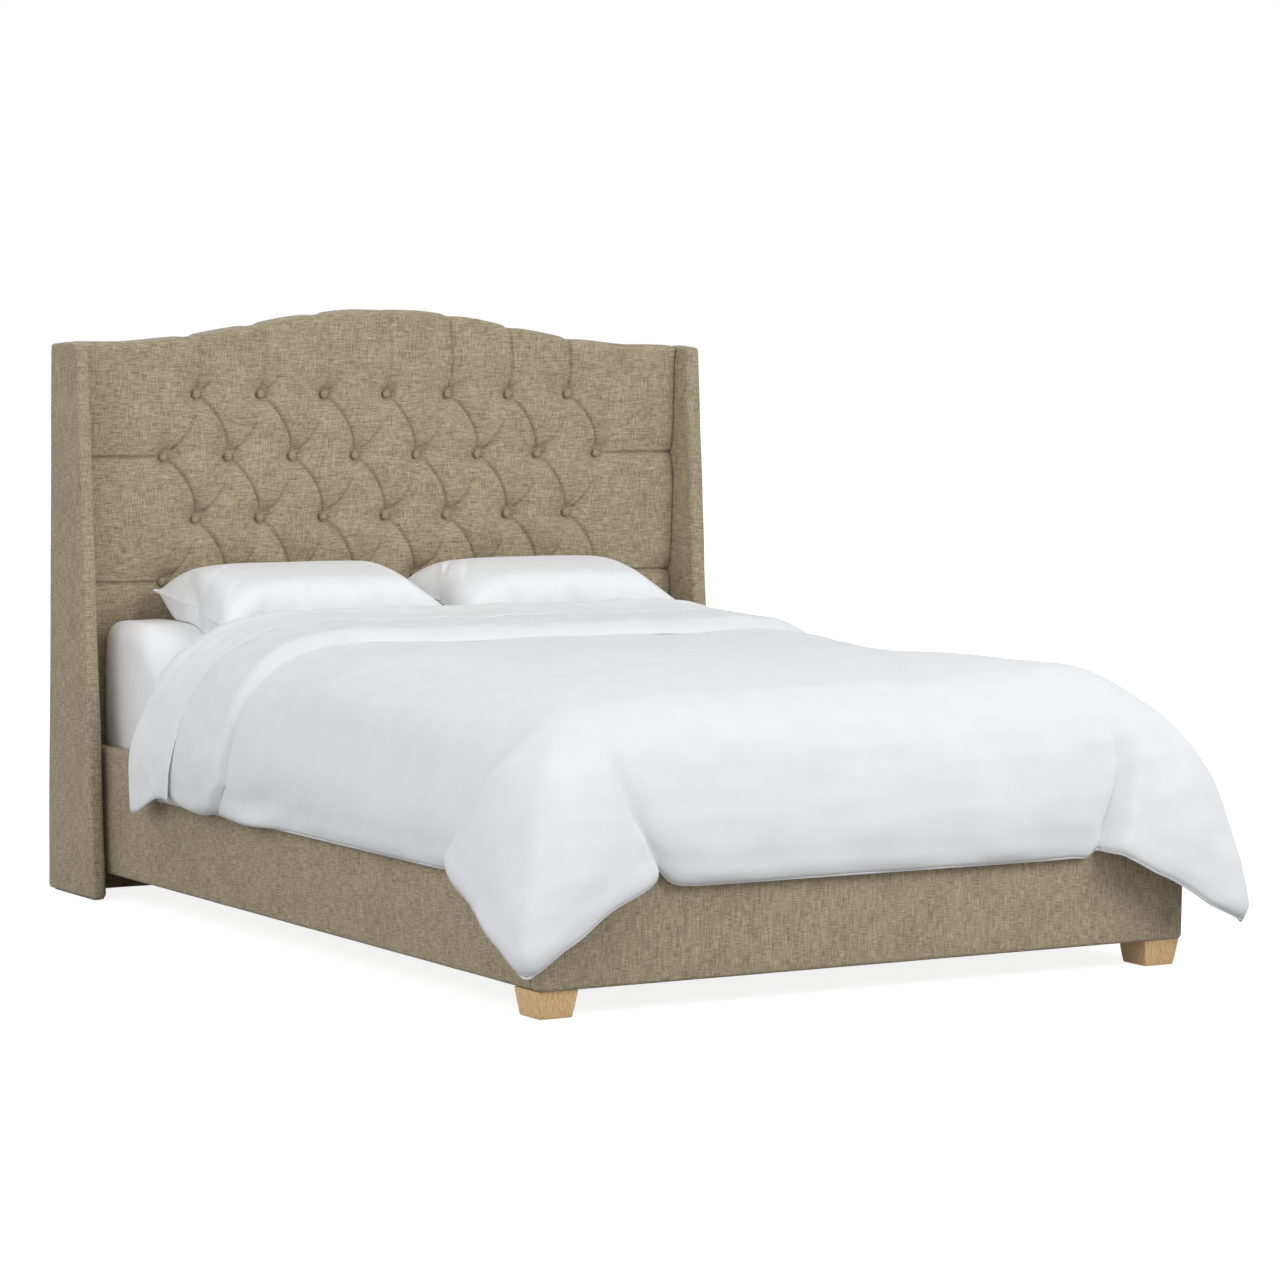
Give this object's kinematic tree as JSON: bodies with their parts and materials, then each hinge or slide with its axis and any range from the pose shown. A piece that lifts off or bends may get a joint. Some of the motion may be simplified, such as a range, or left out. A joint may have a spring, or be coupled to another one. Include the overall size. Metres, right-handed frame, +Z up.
{
  "type": "upholstered headboard bed",
  "caption": "Upholstered wingback bed with an arched, button-tufted headboard, padded rails, tapered wooden feet, slatted deck, mattress, duvet, turned-down sheet and pillows.",
  "frame": {"origin": "on the floor, at the middle of the bed's outer box", "axes": "+Z up, +Y from the foot of the bed towards the headboard, +X to the right of someone who stands at the foot and looks at the headboard"},
  "size_m": [1.8184, 2.2592, 1.37],
  "materials": {
    "linen": "matte",
    "back_cloth": "matte",
    "white_cotton": "matte",
    "ticking": "matte",
    "foam": "matte",
    "pine": "satin",
    "plywood": "satin",
    "oak": "satin",
    "zinc_steel": "satin",
    "black_nylon": "matte"
  },
  "bodies": {
    "bed_frame": {"headboard_stile_right": "pine", "headboard_stile_left": "pine", "headboard_bottom_rail": "pine", "headboard_middle_rail": "pine", "headboard_crown_rail": "pine", "headboard_panel": "plywood", "headboard_foam": "foam", "headboard_back_cloth": "back_cloth", "headboard_cover": "linen", "button_row_1": "linen", "button_row_2": "linen", "button_row_3": "linen", "button_row_4": "linen", "wing_board_right": "plywood", "wing_board_left": "plywood", "wing_cover_right": "linen", "wing_cover_left": "linen", "wing_glide_right": "black_nylon", "wing_glide_left": "black_nylon", "side_rail_right": "pine", "side_rail_left": "pine", "side_rail_cover_right": "linen", "side_rail_cover_left": "linen", "foot_rail": "pine", "foot_rail_cover": "linen", "foot_right": "oak", "foot_left": "oak", "corner_block_right": "pine", "corner_block_left": "pine", "head_bracket_right": "zinc_steel", "head_bracket_left": "zinc_steel", "foot_bracket_right": "zinc_steel", "foot_bracket_left": "zinc_steel", "slat_ledger_right": "pine", "slat_ledger_left": "pine", "slat_1": "pine", "slat_2": "pine", "slat_3": "pine", "slat_4": "pine", "slat_5": "pine", "slat_6": "pine", "slat_7": "pine", "slat_8": "pine", "slat_9": "pine", "slat_10": "pine", "centre_beam": "pine", "beam_hanger_head": "zinc_steel", "beam_hanger_foot": "zinc_steel", "centre_leg_1": "pine", "centre_leg_2": "pine"},
    "mattress_body": {"mattress": "ticking", "fitted_sheet": "white_cotton"},
    "bedding": {"duvet": "white_cotton", "flat_sheet": "white_cotton"},
    "pillow_right_body": {"pillow_right": "white_cotton"},
    "pillow_left_body": {"pillow_left": "white_cotton"},
    "leveller_1": {"leveller_pad_1": "black_nylon"},
    "leveller_2": {"leveller_pad_2": "black_nylon"},
    "leveller_screw_1": {"leveller_stem_1": "zinc_steel"},
    "leveller_screw_2": {"leveller_stem_2": "zinc_steel"}
  },
  "joints": [
    {"name": "mattress_lift", "type": "slide", "parent": "bed_frame", "child": "mattress_body", "axis": [0, 0, 1], "range_m": [0, 0.35]},
    {"name": "bedding_lift", "type": "slide", "parent": "mattress_body", "child": "bedding", "axis": [0, 0, 1], "range_m": [0, 0.3]},
    {"name": "pillow_right_lift", "type": "slide", "parent": "mattress_body", "child": "pillow_right_body", "axis": [0, 0, 1], "range_m": [0, 0.3]},
    {"name": "pillow_left_lift", "type": "slide", "parent": "mattress_body", "child": "pillow_left_body", "axis": [0, 0, 1], "range_m": [0, 0.3]},
    {"name": "leveller_1_rise", "type": "slide", "parent": "bed_frame", "child": "leveller_1", "axis": [0, 0, 1], "range_m": [0, 0.01]},
    {"name": "leveller_2_rise", "type": "slide", "parent": "bed_frame", "child": "leveller_2", "axis": [0, 0, 1], "range_m": [0, 0.01]},
    {"name": "leveller_1_turn", "type": "hinge", "parent": "leveller_1", "child": "leveller_screw_1", "pos_m": [0, 0.37083, 0.03], "axis": [0, 0, 1], "range_deg": [0, 2880]},
    {"name": "leveller_2_turn", "type": "hinge", "parent": "leveller_2", "child": "leveller_screw_2", "pos_m": [0, -0.30697, 0.03], "axis": [0, 0, 1], "range_deg": [0, 2880]}
  ],
  "couplings": [
    {"joint": "leveller_1_rise", "follows": "leveller_1_turn", "m_per_rad": 0.0001989},
    {"joint": "leveller_2_rise", "follows": "leveller_2_turn", "m_per_rad": 0.0001989}
  ]
}
